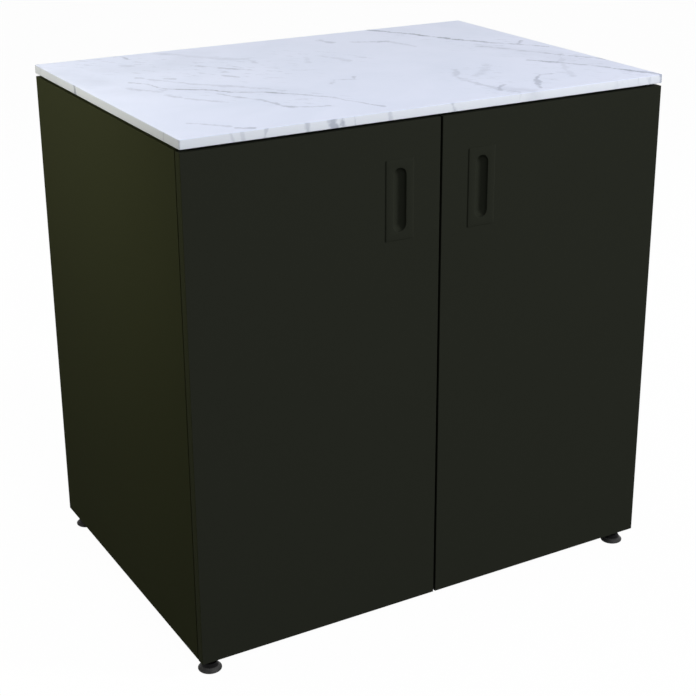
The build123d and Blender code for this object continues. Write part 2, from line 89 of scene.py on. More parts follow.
# Polyester powder coat on steel sheet, sprayed and baked. Matting agents and a fine texture break the
# mirror part of the light, so it stays very dark and shows only a faint orange peel. The real grain of
# about half a millimetre is drawn a little coarser, so that a render can show it.
def powderCoat(name, look):
    material, tree, shader, place = startMaterial(name, {
        "Specular IOR Level": look["specular"], "IOR": 1.5, "Metallic": 0.0})
    grain = addNode(tree, "ShaderNodeTexNoise", inputs={
        "Vector": place, "Scale": 1 / look["grainSize"], "Detail": 2.0, "Roughness": 0.55})
    peel = addNode(tree, "ShaderNodeTexNoise", inputs={
        "Vector": place, "Scale": 1 / look["peelSize"], "Detail": 1.0, "Roughness": 0.5})
    cloud = addNode(tree, "ShaderNodeTexNoise", inputs={
        "Vector": place, "Scale": 1 / look["cloudSize"], "Detail": 2.0, "Roughness": 0.5})
    speck = addNode(tree, "ShaderNodeMapRange", inputs={
        "Value": grain.outputs[0], "From Min": look["speckFrom"], "From Max": look["speckFull"]})
    shade = addNode(tree, "ShaderNodeMix", {"data_type": "RGBA"}, {
        "Factor": cloud.outputs[0], "A": toLinear(look["colour"]), "B": toLinear(look["cloudColour"])})
    colour = addNode(tree, "ShaderNodeMix", {"data_type": "RGBA"}, {
        "Factor": speck.outputs[0], "A": shade.outputs["Result"], "B": toLinear(look["speckColour"])})
    # Painted light: past |x| = edgeFrom the coat takes the lighter, greener tone that light gives the doors'
    # edges
    axes = addNode(tree, "ShaderNodeSeparateXYZ", inputs={"Vector": place})
    aside = addNode(tree, "ShaderNodeMath", {"operation": "ABSOLUTE"}, {0: axes.outputs["X"]})
    outer = addNode(tree, "ShaderNodeMapRange", inputs={
        "Value": aside.outputs[0], "From Min": look["edgeFrom"], "From Max": look["edgeFull"]})
    paintedLightEdge = addNode(tree, "ShaderNodeMix", {"data_type": "RGBA"}, {
        "Factor": outer.outputs[0], "A": colour.outputs["Result"], "B": toLinear(look["paintedLightEdgeColour"])})
    tree.links.new(paintedLightEdge.outputs["Result"], shader.inputs["Base Color"])
    gloss = addNode(tree, "ShaderNodeMapRange", inputs={
        "Value": grain.outputs[0], "From Min": noiseLow, "From Max": noiseHigh,
        "To Min": look["roughness"] - look["uneven"], "To Max": look["roughness"] + look["uneven"]})
    tree.links.new(gloss.outputs[0], shader.inputs["Roughness"])
    relief = addNode(tree, "ShaderNodeMath", {"operation": "MULTIPLY_ADD"}, {
        0: peel.outputs[0], 1: look["peelSize"] / look["grainSize"], 2: grain.outputs[0]})
    bump = addNode(tree, "ShaderNodeBump", inputs={"Distance": look["relief"], "Height": relief.outputs[0]})
    tree.links.new(bump.outputs[0], shader.inputs["Normal"])
    return material


# Painted light: where |x| passes from edgeFrom to edgeFull the edge colour takes over, never on the body,
# and paints the doors' returned outer edges as light and green as the body's side, a tone light gives them
bodyCoatLook = {
    "colour": "#373a27", "cloudColour": "#393c28", "speckColour": "#414432", "paintedLightEdgeColour": "#373a27",
    "edgeFrom": 1.0, "edgeFull": 1.0004, "speckFrom": 0.62, "speckFull": 0.75,
    "grainSize": 0.0009, "peelSize": 0.003, "cloudSize": 0.25, "relief": 0.00002,
    "roughness": 0.62, "uneven": 0.05, "specular": 0.002,
}
doorCoatLook = dict(
    bodyCoatLook, colour="#262821", cloudColour="#272922", speckColour="#2f312a", paintedLightEdgeColour="#313423",
    edgeFrom=0.4490, edgeFull=0.4494, specular=0.006)
pullCoatLook = dict(doorCoatLook, grainSize=0.0007, roughness=0.55)
bodyCoat = powderCoat("olivePowderCoatBody", bodyCoatLook)
doorCoat = powderCoat("olivePowderCoatDoors", doorCoatLook)
insideCoat = powderCoat("olivePowderCoatInside", dict(bodyCoatLook, roughness=0.66))
pullCoat = powderCoat("olivePowderCoatPulls", pullCoatLook)


# Steel, plated or stainless, rolled or turned: metallic, a little uneven, and softly brushed in lines that
# run round the piece, because "brushing" squeezes the grain along Z
def platedSteel(name, look):
    material, tree, shader, place = startMaterial(name, {"Metallic": 1.0})
    stretched = addNode(tree, "ShaderNodeMapping", inputs={"Vector": place, "Scale": look["brushing"]})
    brush = addNode(tree, "ShaderNodeTexNoise", inputs={
        "Vector": stretched.outputs[0], "Scale": 1 / look["grainSize"], "Detail": 3.0, "Roughness": 0.6})
    patch = addNode(tree, "ShaderNodeTexNoise", inputs={
        "Vector": place, "Scale": 1 / look["patchSize"], "Detail": 2.0, "Roughness": 0.5})
    colour = addNode(tree, "ShaderNodeMix", {"data_type": "RGBA"}, {
        "Factor": patch.outputs[0], "A": toLinear(look["colour"]), "B": toLinear(look["patchColour"])})
    tree.links.new(colour.outputs["Result"], shader.inputs["Base Color"])
    gloss = addNode(tree, "ShaderNodeMapRange", inputs={
        "Value": brush.outputs[0], "From Min": look["brushLow"], "From Max": look["brushHigh"],
        "To Min": look["roughness"] - look["uneven"], "To Max": look["roughness"] + look["uneven"]})
    tree.links.new(gloss.outputs[0], shader.inputs["Roughness"])
    bump = addNode(tree, "ShaderNodeBump", inputs={"Distance": look["relief"], "Height": brush.outputs[0]})
    tree.links.new(bump.outputs[0], shader.inputs["Normal"])
    return material


steelLook = {"brushLow": 0.25, "brushHigh": 0.75, "uneven": 0.07, "relief": 0.00001}
nickelSteel = platedSteel("nickelPlatedSteel", dict(
    steelLook, colour="#c9c6bf", patchColour="#bdbab3", brushing=(1, 1, 12),
    grainSize=0.002, patchSize=0.02, roughness=0.32))
zincSteel = platedSteel("blackZincPlatedSteel", dict(
    steelLook, colour="#4a4b4d", patchColour="#3e3f41", brushing=(1, 1, 4),
    grainSize=0.0015, patchSize=0.01, roughness=0.42))
screwSteel = platedSteel("stainlessScrewSteel", dict(
    steelLook, colour="#b9b7b2", patchColour="#aeaca7", brushing=(1, 1, 1),
    grainSize=0.001, patchSize=0.006, roughness=0.30))


# Moulded polymers: a satin skin with the fine spark texture of the mould, drawn coarser than its real
# tenths of a millimetre so that it shows. A noisy grey covers it in full up to one height and not at all
# above a higher one: a faint dusty tone on the rubber, and on the feet's pads painted light, their lit lower
# band.
def mouldedPolymer(name, look):
    material, tree, shader, place = startMaterial(name, {
        "IOR": look["ior"], "Specular IOR Level": look["specular"], "Metallic": 0.0})
    spark = addNode(tree, "ShaderNodeTexNoise", inputs={
        "Vector": place, "Scale": 1 / look["grainSize"], "Detail": 3.0, "Roughness": 0.6})
    dustAndLightNoise = addNode(tree, "ShaderNodeTexNoise", inputs={
        "Vector": place, "Scale": 1 / look["dustAndLightSize"], "Detail": 3.0, "Roughness": 0.6})
    axes = addNode(tree, "ShaderNodeSeparateXYZ", inputs={"Vector": place})
    low = addNode(tree, "ShaderNodeMapRange", inputs={
        "Value": axes.outputs["Z"], "From Min": look["dustAndLightTop"], "From Max": look["dustAndLightFull"]})
    dustAndLightCover = addNode(tree, "ShaderNodeMath", {"operation": "MULTIPLY"}, {
        0: low.outputs[0], 1: dustAndLightNoise.outputs[0]})
    colour = addNode(tree, "ShaderNodeMix", {"data_type": "RGBA"}, {
        "Factor": dustAndLightCover.outputs[0], "A": toLinear(look["colour"]), "B": toLinear(look["dustAndLightColour"])})
    tree.links.new(colour.outputs["Result"], shader.inputs["Base Color"])
    gloss = addNode(tree, "ShaderNodeMapRange", inputs={
        "Value": spark.outputs[0], "From Min": noiseLow, "From Max": noiseHigh,
        "To Min": look["roughness"] - look["uneven"], "To Max": look["roughness"] + look["uneven"]})
    tree.links.new(gloss.outputs[0], shader.inputs["Roughness"])
    bump = addNode(tree, "ShaderNodeBump", inputs={"Distance": look["relief"], "Height": spark.outputs[0]})
    tree.links.new(bump.outputs[0], shader.inputs["Normal"])
    return material


# Painted light: the grey below about 8 mm is the pads' lit lower band, the black above their shadowed top
footNylon = mouldedPolymer("glassFilledNylon", {
    "colour": "#0d0d0d", "dustAndLightColour": "#545453", "dustAndLightSize": 0.012, "dustAndLightTop": 0.0085, "dustAndLightFull": 0.0072,
    "grainSize": 0.0008, "relief": 0.00003, "roughness": 0.55, "uneven": 0.06, "ior": 1.53, "specular": 0.1})
blackRubber = mouldedPolymer("nitrileRubber", {
    "colour": "#161616", "dustAndLightColour": "#1e1e1d", "dustAndLightSize": 0.008, "dustAndLightTop": 1.0, "dustAndLightFull": 0.85,
    "grainSize": 0.0012, "relief": 0.00003, "roughness": 0.7, "uneven": 0.06, "ior": 1.52, "specular": 0.35})


# Veins of the slab: points in millimetres on its top face, seen from above with the doors at the
# bottom, then the width of the line and its strength. Wide weak ones are the soft grey clouds. "ragged"
# is how far noise eats into a line, in widths: the smaller it is, the less broken the line.
veins = [
    {"points": [(228, 318), (257, 275), (290, 215), (330, 135), (360, 82)], "width": 7.0, "strength": 0.95},
    {"points": [(360, 82), (387, 49), (417, 12), (432, -10)], "width": 6.0, "strength": 0.75},
    {"points": [(323, 60), (345, 30), (362, 0), (390, -58)], "width": 8.0, "strength": 0.45},
    {"points": [(390, -58), (417, -104), (452, -160)], "width": 7.0, "strength": 0.85},
    {"points": [(426, 66), (398, 34)], "width": 6.0, "strength": 0.60},
    {"points": [(328, -100), (367, -151), (393, -191), (417, -251), (448, -318)], "width": 7.0,
     "strength": 0.85},
    {"points": [(412, -78), (370, -138), (330, -204), (306, -250)], "width": 9.0, "strength": 0.28},
    {"points": [(290, -216), (270, -212), (255, -222), (240, -238), (222, -264), (203, -295)], "width": 5.5,
     "strength": 0.58},
    {"points": [(168, -96), (140, -140), (132, -180), (134, -215), (140, -262), (150, -296)], "width": 9.0,
     "strength": 0.34},
    {"points": [(240, -90), (215, -125), (192, -145), (165, -165)], "width": 12.0, "strength": 0.20},
    {"points": [(165, -246), (148, -262), (138, -282)], "width": 5.0, "strength": 0.60},
    {"points": [(142, -292), (154, -304)], "width": 9.0, "strength": 0.45},
    {"points": [(-330, 9), (-293, -18), (-262, -42), (-250, -62)], "width": 4.5, "strength": 1.00,
     "ragged": 1.4},
    {"points": [(-252, -64), (-228, -80), (-200, -94), (-176, -122), (-148, -156)], "width": 4.5,
     "strength": 0.90, "ragged": 1.4},
    {"points": [(-150, -154), (-124, -182), (-117, -211), (-100, -251), (-86, -280)], "width": 5.0,
     "strength": 0.55, "ragged": 2.2},
    {"points": [(76, 84), (84, 74)], "width": 9.0, "strength": 0.35},
    {"points": [(-294, 86), (-288, 76)], "width": 9.0, "strength": 0.35},
    {"points": [(-362, 84), (-342, 58), (-333, 22), (-330, 9)], "width": 5.0, "strength": 0.55},
    {"points": [(-340, 118), (-317, 82), (-277, 29), (-250, -4), (-212, -34)], "width": 8.0,
     "strength": 0.35},
    {"points": [(-248, -8), (-216, -40), (-190, -66), (-172, -96)], "width": 10.0, "strength": 0.35},
    {"points": [(-378, 40), (-362, 18), (-350, -6)], "width": 12.0, "strength": 0.40},
    {"points": [(-346, -30), (-336, -62), (-318, -92), (-284, -130)], "width": 7.0, "strength": 0.35},
    {"points": [(-272, -66), (-256, -100), (-228, -150), (-222, -190), (-212, -216)], "width": 6.0,
     "strength": 0.45},
    {"points": [(-216, -206), (-196, -218), (-180, -228), (-156, -236)], "width": 5.0, "strength": 0.60},
    {"points": [(-396, -226), (-375, -250), (-352, -276)], "width": 6.0, "strength": 0.45},
    {"points": [(-348, -292), (-326, -304)], "width": 5.0, "strength": 0.60},
    {"points": [(-214, 164), (-196, 146)], "width": 7.0, "strength": 0.45},
    {"points": [(-182, 122), (-160, 100), (-138, 76)], "width": 6.0, "strength": 0.55},
    {"points": [(-202, 58), (-184, 34)], "width": 8.0, "strength": 0.45},
    {"points": [(-218, 296), (-190, 262), (-168, 222), (-138, 190), (-108, 172)], "width": 18.0,
     "strength": 0.26},
    {"points": [(-108, 176), (-104, 132)], "width": 10.0, "strength": 0.35},
    {"points": [(142, 218), (172, 202), (202, 186)], "width": 9.0, "strength": 0.50},
    {"points": [(206, 180), (212, 150), (222, 118)], "width": 7.0, "strength": 0.25},
    {"points": [(-78, -92), (-60, -70), (-44, -72), (-22, -80), (-14, -62)], "width": 5.0, "strength": 0.35},
    {"points": [(30, 112), (42, 82), (44, 60)], "width": 10.0, "strength": 0.28},
    {"points": [(98, 260), (104, 236)], "width": 12.0, "strength": 0.35},
    {"points": [(-292, 314), (-290, 276)], "width": 5.0, "strength": 0.55},
    {"points": [(-318, 228), (-308, 214)], "width": 12.0, "strength": 0.30},
    {"points": [(-6, 128), (-20, 86)], "width": 8.0, "strength": 0.15},
    {"points": [(372, -60), (420, -200)], "width": 60.0, "strength": 0.12},
    {"points": [(336, 52), (372, -20), (402, -70)], "width": 34.0, "strength": 0.14},
    {"points": [(150, -270), (178, -306)], "width": 26.0, "strength": 0.22},
    {"points": [(-440, 215), (-412, 110)], "width": 60.0, "strength": 0.14},
    {"points": [(-352, 200), (-262, 176), (-160, 262)], "width": 60.0, "strength": 0.10},
    {"points": [(-392, 30), (-250, -40), (-170, -110)], "width": 60.0, "strength": 0.08},
]
# Where the faint dashes lie
dashRegions = [
    {"points": [(-360, 270), (-230, 150), (-130, 60)], "width": 150, "strength": 1.0},
    {"points": [(-330, 20), (-150, -190)], "width": 90, "strength": 0.9},
    {"points": [(0, 180), (60, 90)], "width": 110, "strength": 0.6},
    {"points": [(260, 250), (350, 60)], "width": 70, "strength": 0.7},
    {"points": [(370, 50), (420, -260)], "width": 140, "strength": 1.0},
    {"points": [(140, -260), (190, -130)], "width": 90, "strength": 0.9},
    {"points": [(230, -260), (300, -210)], "width": 60, "strength": 0.8},
]
# Streaks on the slab's front edge, as (x, z) with the slab's middle at z = 0, and on its left edge,
# as (y, z)
frontStreaks = [
    {"points": [(-368, 8), (-363, -8)], "width": 4.0, "strength": 0.22},
    {"points": [(-351, 8), (-347, -8)], "width": 4.0, "strength": 0.22},
    {"points": [(-309, 8), (-313, -8)], "width": 4.0, "strength": 0.35},
    {"points": [(-243, 8), (-239, -8)], "width": 6.0, "strength": 0.40},
    {"points": [(-200, 8), (-192, -8)], "width": 9.0, "strength": 0.60},
    {"points": [(-182, 8), (-178, -8)], "width": 9.0, "strength": 0.65},
    {"points": [(-160, 8), (-158, -8)], "width": 4.0, "strength": 0.35},
    {"points": [(-97, 8), (-96, -8)], "width": 5.0, "strength": 0.30},
    {"points": [(18, 8), (24, -8)], "width": 6.0, "strength": 0.40},
]
leftStreaks = [
    {"points": [(114, 8), (108, -8)], "width": 7.0, "strength": 0.75},
    {"points": [(-262, 8), (-258, -8)], "width": 4.0, "strength": 0.25},
]
# Of each pattern, "From" and "Full" are the noise values where it starts and is whole. The edge white is
# painted light: over the depths edgeFrom to edgeFull below the top face it paints the edges less blue than
# the top, a tint that light gives them. Streaks show between streakFrom and streakFull of an edge's face.
# Noise eats into a line by "ragged" widths unless the line says otherwise, and by no more than reach +
# reachPerWidth * width millimetres.
marbleLook = {
    "white": "#e0e6f8", "paintedLightEdgeWhite": "#e3e8ef", "cloud": "#d2dbed", "vein": "#8b92a4",
    "edgeFrom": 0.0006, "edgeFull": 0.0012, "streakFrom": 0.0008, "streakFull": 0.0002,
    "cloudSize": 0.16, "cloudFrom": 0.42, "cloudFull": 0.75, "cloudAmount": 0.45,
    "wobbleSize": 0.04, "wobble": 0.014, "fraySize": 0.011, "fray": 0.007,
    "breakSize": 0.018, "ragged": 3.2, "reach": 26, "reachPerWidth": 0.4,
    "wearSize": 0.05, "wearFrom": 0.36, "wearFull": 0.60, "faded": 0.60,
    "dashSize": 0.035, "dashFrom": 0.54, "dashFull": 0.70, "dashAmount": 0.36, "dashAngle": -50,
    "dashSqueeze": 0.34, "roughness": 0.42, "veinRoughness": 0.50, "specular": 0.12,
}


# Distance of a place from a straight run. How far along the run the nearest point lies is held between 0
# and 1, so the run has round ends. A clamp here would come last in Cycles' order and hold up every run
# at once, which is more than a shader can keep, so the limits are minimum and maximum nodes.
def runGroup():
    group = bpy.data.node_groups.new("distanceToRun", "ShaderNodeTree")
    for name in ("Place", "Start", "Run", "Along"):
        group.interface.new_socket(name, in_out="INPUT", socket_type="NodeSocketVector")
    group.interface.new_socket("Distance", in_out="OUTPUT", socket_type="NodeSocketFloat")
    given = addNode(group, "NodeGroupInput").outputs
    offset = addNode(group, "ShaderNodeVectorMath", {"operation": "SUBTRACT"}, {
        0: given["Place"], 1: given["Start"]})
    along = addNode(group, "ShaderNodeVectorMath", {"operation": "DOT_PRODUCT"}, {
        0: offset.outputs["Vector"], 1: given["Along"]})
    forward = addNode(group, "ShaderNodeMath", {"operation": "MAXIMUM"}, {0: along.outputs["Value"], 1: 0.0})
    held = addNode(group, "ShaderNodeMath", {"operation": "MINIMUM"}, {0: forward.outputs[0], 1: 1.0})
    nearest = addNode(group, "ShaderNodeVectorMath", {"operation": "SCALE"}, {
        0: given["Run"], "Scale": held.outputs[0]})
    distance = addNode(group, "ShaderNodeVectorMath", {"operation": "DISTANCE"}, {
        0: offset.outputs["Vector"], 1: nearest.outputs["Vector"]})
    addNode(group, "NodeGroupOutput", inputs={"Distance": distance.outputs["Value"]})
    return group


# Marble-look sintered stone, pressed, fired and honed: a cool white body whose veins run through the
# thickness, with a satin face
def sinteredStone(name, look):
    material, tree, shader, place = startMaterial(name, {"IOR": 1.5, "Specular IOR Level": look["specular"]})
    group = runGroup()

    # The darkest of a list of veins: each is the smooth fade of the distance from its nearest run
    def darkest(lines, spot, rough):
        total = None
        for line in lines:
            near = None
            ends = [Vector((x * mm, y * mm, 0.0)) for x, y in line["points"]]
            for first, last in zip(ends, ends[1:]):
                run = last - first
                distance = addNode(tree, "ShaderNodeGroup", {"node_tree": group}, {
                    "Place": spot, "Start": first, "Run": run, "Along": run / run.length_squared}).outputs[0]
                near = distance if near is None else addNode(tree, "ShaderNodeMath", {
                    "operation": "MINIMUM"}, {0: near, 1: distance}).outputs[0]
            width = line["width"]
            reach = min(
                line.get("ragged", look["ragged"]) * width, look["reach"] + look["reachPerWidth"] * width)
            eaten = addNode(tree, "ShaderNodeMath", {"operation": "MULTIPLY_ADD"}, {
                0: rough, 1: reach * mm, 2: near})
            mask = addNode(tree, "ShaderNodeMapRange", {"interpolation_type": "SMOOTHSTEP", "clamp": False}, {
                "Value": eaten.outputs[0], "From Max": width * mm, "To Min": line["strength"], "To Max": 0.0})
            total = mask.outputs[0] if total is None else addNode(tree, "ShaderNodeMath", {
                "operation": "MAXIMUM"}, {0: total, 1: mask.outputs[0]}).outputs[0]
        return total

    spot = addNode(tree, "ShaderNodeVectorMath", {"operation": "MULTIPLY"}, {
        0: place, 1: (1, 1, 0)}).outputs[0]
    for size, amount in ((look["wobbleSize"], look["wobble"]), (look["fraySize"], look["fray"])):
        shove = addNode(tree, "ShaderNodeTexNoise", inputs={
            "Vector": place, "Scale": 1 / size, "Detail": 2.0, "Roughness": 0.5})
        centred = addNode(tree, "ShaderNodeVectorMath", {"operation": "SUBTRACT"}, {
            0: shove.outputs["Color"], 1: (0.5, 0.5, 0.5)})
        spot = addNode(tree, "ShaderNodeVectorMath", {"operation": "MULTIPLY_ADD"}, {
            0: centred.outputs[0], 1: (amount, amount, 0), 2: spot}).outputs[0]
    breaks = addNode(tree, "ShaderNodeTexNoise", inputs={
        "Vector": place, "Scale": 1 / look["breakSize"], "Detail": 3.0, "Roughness": 0.6})
    rough = addNode(tree, "ShaderNodeMath", {"operation": "SUBTRACT"}, {
        0: breaks.outputs[0], 1: 0.5}).outputs[0]
    total = darkest(veins, spot, rough)
    fading = addNode(tree, "ShaderNodeTexNoise", inputs={
        "Vector": place, "Scale": 1 / look["wearSize"], "Detail": 3.0, "Roughness": 0.6})
    kept = addNode(tree, "ShaderNodeMapRange", inputs={
        "Value": fading.outputs[0], "From Min": look["wearFrom"], "From Max": look["wearFull"],
        "To Min": look["faded"]})
    total = addNode(tree, "ShaderNodeMath", {"operation": "MULTIPLY"}, {
        0: total, 1: kept.outputs[0]}).outputs[0]

    # Streaks on the edges, shown only where the surface lies outside the top's arris
    parts = addNode(tree, "ShaderNodeSeparateXYZ", inputs={0: place}).outputs
    low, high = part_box("worktop_slab")
    height = addNode(tree, "ShaderNodeMath", {"operation": "SUBTRACT"}, {
        0: parts["Z"], 1: (low.z + high.z) / 2}).outputs[0]
    for lines, along, out, edge in (
            (frontStreaks, parts["X"], parts["Y"], low.y), (leftStreaks, parts["Y"], parts["X"], low.x)):
        flat = addNode(tree, "ShaderNodeCombineXYZ", inputs={"X": along, "Y": height}).outputs[0]
        streak = darkest(lines, flat, rough)
        onEdge = addNode(tree, "ShaderNodeMapRange", inputs={
            "Value": out, "From Min": edge + look["streakFrom"], "From Max": edge + look["streakFull"]})
        shown = addNode(tree, "ShaderNodeMath", {"operation": "MULTIPLY"}, {0: streak, 1: onEdge.outputs[0]})
        total = addNode(tree, "ShaderNodeMath", {"operation": "MAXIMUM"}, {
            0: total, 1: shown.outputs[0]}).outputs[0]

    # Faint broken dashes that lie along the veins, in hazy patches
    slanted = addNode(tree, "ShaderNodeMapping", {"vector_type": "TEXTURE"}, {
        "Vector": place, "Rotation": (0, 0, math.radians(look["dashAngle"])),
        "Scale": (1.0, look["dashSqueeze"], 1.0)})
    dashes = addNode(tree, "ShaderNodeTexNoise", inputs={
        "Vector": slanted.outputs[0], "Scale": 1 / look["dashSize"], "Detail": 4.0, "Roughness": 0.62})
    dash = addNode(tree, "ShaderNodeMapRange", {"interpolation_type": "SMOOTHSTEP"}, {
        "Value": dashes.outputs[0], "From Min": look["dashFrom"], "From Max": look["dashFull"],
        "To Max": look["dashAmount"]})
    cloud = addNode(tree, "ShaderNodeTexNoise", inputs={
        "Vector": place, "Scale": 1 / look["cloudSize"], "Detail": 4.0, "Roughness": 0.55, "Distortion": 0.6})
    scattered = addNode(tree, "ShaderNodeMath", {"operation": "MULTIPLY"}, {
        0: dash.outputs[0], 1: darkest(dashRegions, spot, rough)})
    total = addNode(tree, "ShaderNodeMath", {"operation": "MAXIMUM", "use_clamp": True}, {
        0: total, 1: scattered.outputs[0]}).outputs[0]

    haze = addNode(tree, "ShaderNodeMapRange", inputs={
        "Value": cloud.outputs[0], "From Min": look["cloudFrom"], "From Max": look["cloudFull"],
        "To Max": look["cloudAmount"]})
    ground = addNode(tree, "ShaderNodeMix", {"data_type": "RGBA"}, {
        "Factor": haze.outputs[0], "A": toLinear(look["white"]), "B": toLinear(look["cloud"])})
    # Painted light: the edge faces below the top take the less blue edge white
    below = addNode(tree, "ShaderNodeMapRange", inputs={
        "Value": parts["Z"], "From Min": high.z - look["edgeFrom"], "From Max": high.z - look["edgeFull"]})
    body = addNode(tree, "ShaderNodeMix", {"data_type": "RGBA"}, {
        "Factor": below.outputs[0], "A": ground.outputs["Result"], "B": toLinear(look["paintedLightEdgeWhite"])})
    colour = addNode(tree, "ShaderNodeMix", {"data_type": "RGBA"}, {
        "Factor": total, "A": body.outputs["Result"], "B": toLinear(look["vein"])})
    tree.links.new(colour.outputs["Result"], shader.inputs["Base Color"])
    gloss = addNode(tree, "ShaderNodeMapRange", inputs={
        "Value": total, "To Min": look["roughness"], "To Max": look["veinRoughness"]})
    tree.links.new(gloss.outputs[0], shader.inputs["Roughness"])
    return material


marble = sinteredStone("marbleLookSinteredStone", marbleLook)
print("materials made:", len(bpy.data.materials))


# Puts a mesh of grid points into the scene. The points form rows and columns; every four neighbours
# make a face, the columns close into a ring, and a cap closes each open end.
def surfaceObject(name, grids, material, body, replaced, sharpAngle=40):
    vertices = []
    faces = []
    count = 0
    for grid in grids:
        rows, columns = grid.shape[:2]
        index = count + np.arange(rows * columns).reshape(rows, columns)
        nextColumn = np.roll(index, -1, axis=1)
        quads = np.stack([index[:-1], nextColumn[:-1], nextColumn[1:], index[1:]], axis=-1)
        faces += quads.reshape(-1, 4).tolist() + [index[0, ::-1].tolist(), index[-1].tolist()]
        vertices.append(grid.reshape(-1, 3))
        count += rows * columns
    mesh = bpy.data.meshes.new(name)
    mesh.from_pydata(np.concatenate(vertices), [], faces)
    mesh.validate()
    mesh.polygons.foreach_set("use_smooth", np.ones(len(mesh.polygons), bool))
    mesh.set_sharp_from_angle(angle=math.radians(sharpAngle))
    mesh.materials.append(material)
    piece = bpy.data.objects.new(name, mesh)
    bpy.context.scene.collection.objects.link(piece)
    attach(piece, body)
    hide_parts(*replaced)


# Outline of a rectangle with round corners: the point of a circle of the corner's radius, pushed out
# along x and y to the corner's centre by the signs of its cosine and sine. The angle runs once round.
def roundedOutline(halfX, halfY, radius, perCorner=8):
    steps = (np.arange(perCorner) + 0.5) / perCorner
    angles = (np.arange(4)[:, None] + steps[None, :]).reshape(-1) * math.pi / 2
    cosine, sine = np.cos(angles), np.sin(angles)
    x = np.sign(cosine) * (halfX - radius) + radius * cosine
    y = np.sign(sine) * (halfY - radius) + radius * sine
    return np.stack([x, y], axis=-1)


# Rows of rounded rectangles, one for each (half width, half height, corner radius, depth)
def outlineRows(rows):
    planes = [roundedOutline(*row[:3]) for row in rows]
    depths = [np.full((len(plane), 1), row[3]) for plane, row in zip(planes, rows)]
    return np.stack([np.concatenate(pair, axis=1) for pair in zip(planes, depths)])


# Quarter circle from angle 0 to 90 degrees as (1 - cosine, sine) steps
def quarterArc(count):
    angles = np.linspace(0, math.pi / 2, count)
    return 1 - np.cos(angles), np.sin(angles)


# Worktop slab: the rounded outline carried up the edge, with a small round arris above and below
slabLook = {"cornerRadius": 0.0025, "arris": 0.0012, "arrisSteps": 5}


def makeSlab():
    low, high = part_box("worktop_slab")
    centre = (low + high) / 2
    half = (high - low) / 2
    arris = slabLook["arris"]
    inward, rise = quarterArc(slabLook["arrisSteps"])
    insets = np.concatenate([arris * (1 - rise), arris * inward])
    heights = np.concatenate([low.z + arris * inward, high.z - arris + arris * rise])
    rows = [
        (half.x - inset, half.y - inset, slabLook["cornerRadius"] - inset, height)
        for inset, height in zip(insets, heights)
    ]
    grid = outlineRows(rows)
    grid[..., :2] += (centre.x, centre.y)
    surfaceObject("worktopSlab", [grid], marble, "cabinet", ["worktop_slab"])


makeSlab()
print("slab made")


# Flush finger pulls: a plate that stands a groove away from its cut-out on the left and slopes down to
# it on the other sides, a rolled rim, and a scoop whose offset from its middle line is its half width by
# the cosine of an angle while its depth is the whole depth by the sine. The angle stops at the share
# scoopEnd of a right angle, where a flat cap closes the scoop.
pullLook = {
    "plateHalfX": 0.0250, "plateHalfY": 0.0662, "corner": 0.0012, "edge": 0.0003, "edgeSteps": 4,
    "reveal": 0.00098, "cutoutHalfX": 0.02698, "cutoutHalfY": 0.06648, "cutoutCorner": 0.0019,
    "scoopHalfX": 0.0122, "scoopHalfY": 0.0524, "scoopDepth": 0.0090, "rim": 0.0006, "rimSteps": 4,
    "scoopSteps": 22, "scoopEnd": 0.995, "wall": 0.0014, "backCap": 0.002,
    "flange": 0.005, "flangeFront": 0.0022, "flangeBack": 0.0042,
}


def makePull(side):
    look = pullLook
    low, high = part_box(side + "_finger_pull")
    spine = look["scoopHalfY"] - look["scoopHalfX"]
    bowl = look["scoopHalfX"] + look["wall"]
    back = look["scoopDepth"] + look["wall"]
    plate = [look[key] for key in ("plateHalfX", "plateHalfY", "corner")]
    cutout = [look[key] for key in ("cutoutHalfX", "cutoutHalfY", "cutoutCorner")]
    flange = [size + look["flange"] for size in cutout]
    rows = [
        (look["backCap"], spine + look["backCap"], look["backCap"], back), (bowl, spine + bowl, bowl, back),
        (bowl, spine + bowl, bowl, look["flangeBack"]), (*flange, look["flangeBack"]),
        (*flange, look["flangeFront"]), (*cutout, look["flangeFront"]), (*cutout, look["reveal"]),
    ]
    slope = slice(len(rows) - 1, len(rows) + 1)
    inward, rise = quarterArc(look["edgeSteps"])
    for a, b in zip(inward, rise):
        rows.append((*[size - look["edge"] * a for size in plate], look["edge"] * (1 - b)))
    inward, rise = quarterArc(look["rimSteps"])
    for a, b in zip(inward, rise):
        offset = look["scoopHalfX"] + look["rim"] * (1 - b)
        rows.append((offset, spine + offset, offset, look["rim"] * a))
    firstAngle = math.asin(look["rim"] / look["scoopDepth"])
    for angle in np.linspace(firstAngle, math.pi / 2 * look["scoopEnd"], look["scoopSteps"])[1:]:
        offset = look["scoopHalfX"] * math.cos(angle)
        rows.append((offset, spine + offset, offset, look["scoopDepth"] * math.sin(angle)))
    grid = outlineRows(rows)
    # On the left the slope's two rows drop straight from the plate, which leaves the groove
    grid[slope, :, 0] = np.maximum(grid[slope, :, 0], -look["plateHalfX"])
    centreX, centreZ = (low.x + high.x) / 2, (low.z + high.z) / 2
    points = np.stack([centreX + grid[..., 0], low.y + grid[..., 2], centreZ + grid[..., 1]], axis=-1)
    surfaceObject(
        side + "FingerPull", [points], pullCoat, side + "_door", [side + "_finger_pull"])


for side in sides:
    makePull(side)
print("pulls made")


# A profile of (radius, height) turned round a vertical axis: x and y are the radius by the cosine and the
# sine of the angle
def turned(profile, centre, columns):
    angles = np.arange(columns) / columns * 2 * math.pi
    radius, height = np.array(profile).T
    x = radius[:, None] * np.cos(angles)
    y = radius[:, None] * np.sin(angles)
    z = np.repeat(height[:, None], columns, axis=1)
    return np.stack([centre[0] + x, centre[1] + y, z], axis=-1)


